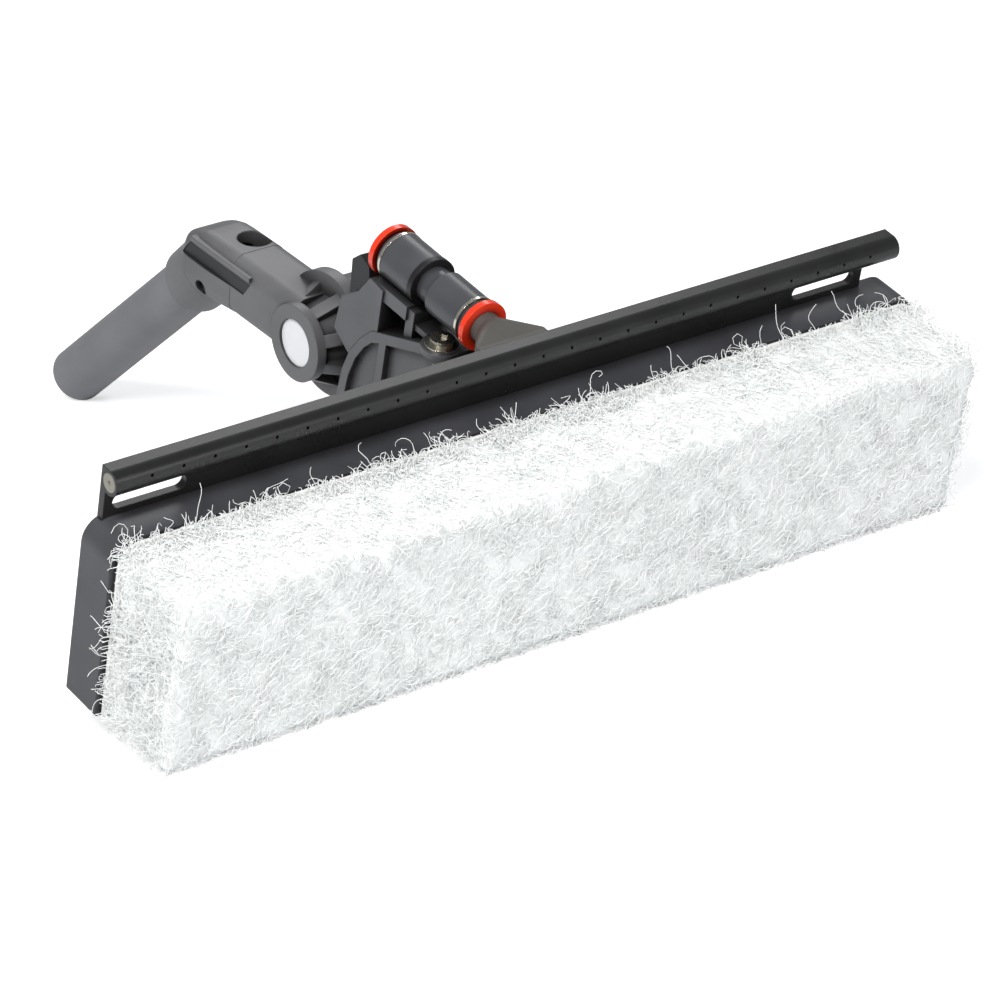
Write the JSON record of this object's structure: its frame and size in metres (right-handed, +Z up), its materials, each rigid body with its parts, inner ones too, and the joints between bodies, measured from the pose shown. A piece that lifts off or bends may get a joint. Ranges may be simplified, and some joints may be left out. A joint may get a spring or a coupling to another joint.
{
  "type": "water-fed window scrubber head",
  "caption": "Water-fed window scrubbing head: a fibre pad on a ribbed holder under a drilled rinse bar, with a push-in hose union and a swivelling gooseneck that ends in a pole tube.",
  "frame": {"origin": "centre of the bounding box, on the table plane that the pad's lower front edge and the tube's end touch", "axes": "+X along the bar, to the right seen from the pad; +Y from the pad back to the pole tube; +Z up"},
  "size_m": [0.357, 0.3466, 0.1287],
  "materials": {
    "bar": "satin dark grey moulding",
    "end_plugs": "light grey beige",
    "holder": "satin dark grey",
    "cover": "satin dark grey",
    "steel": "turned steel",
    "hook": "black hook tape",
    "loop": "off-white backing cloth",
    "pad": "white curly fibre",
    "manifold": "grey brown moulding",
    "rubber": "black",
    "bracket": "satin grey moulding",
    "saddle": "satin grey moulding",
    "dark_steel": "dark bronze",
    "nickel": "nickel plate",
    "black": "black",
    "union": "grey, slightly glossy",
    "red": "orange red",
    "neck": "satin grey moulding",
    "tube": "grey coated",
    "inlay": "dark grey",
    "white": "white",
    "acetal": "grey"
  },
  "bodies": {
    "head": {"rinse_bar": "bar", "left_end_plug": "end_plugs", "right_end_plug": "end_plugs", "pad_holder": "holder", "holder_cover": "cover", "cover_screws": "steel", "hook_sheet": "hook", "loop_sheet": "loop", "fibre_pad": "pad", "inlet_manifold": "manifold", "inlet_seal": "rubber", "manifold_screws": "steel", "pivot_bracket": "bracket", "bracket_screws": "steel", "union_saddle": "saddle", "saddle_screws": "dark_steel", "saddle_washers": "nickel", "hose_rest": "black", "union_body": "union", "union_ring": "black", "front_cap_ring": "nickel", "rear_cap_ring": "nickel", "front_grab_ring": "steel", "rear_grab_ring": "steel", "front_seal": "rubber", "rear_seal": "rubber", "lock_spring": "steel", "pivot_bolt": "steel", "pivot_nut": "steel", "pivot_washer": "steel", "pivot_cap": "cover"},
    "neck": {"gooseneck": "neck", "arm_inlay": "inlay", "pole_tube": "tube", "tube_screw": "dark_steel"},
    "lock": {"lock_button": "white", "lock_cone": "acetal"},
    "front_collet": {"front_collet": "red"},
    "rear_collet": {"rear_collet": "red"}
  },
  "joints": [
    {"name": "neck_pitch", "type": "hinge", "parent": "head", "child": "neck", "pos_m": [0, -0.00687, 0.07373], "axis": [1, 0, 0], "range_deg": [-35, 45]},
    {"name": "lock_push", "type": "slide", "parent": "head", "child": "lock", "axis": [1, 0, 0], "range_m": [0, 0.0028], "stiffness_N_per_m": 900, "springref_m": -0.002, "deforming": ["lock_spring"]},
    {"name": "front_collet_push", "type": "slide", "parent": "head", "child": "front_collet", "axis": [0, 0.9636, 0.2675], "range_m": [0, 0.0012], "stiffness_N_per_m": 500, "springref_m": -0.001},
    {"name": "rear_collet_push", "type": "slide", "parent": "head", "child": "rear_collet", "axis": [0, -0.9636, -0.2675], "range_m": [0, 0.0012], "stiffness_N_per_m": 500, "springref_m": -0.001}
  ]
}
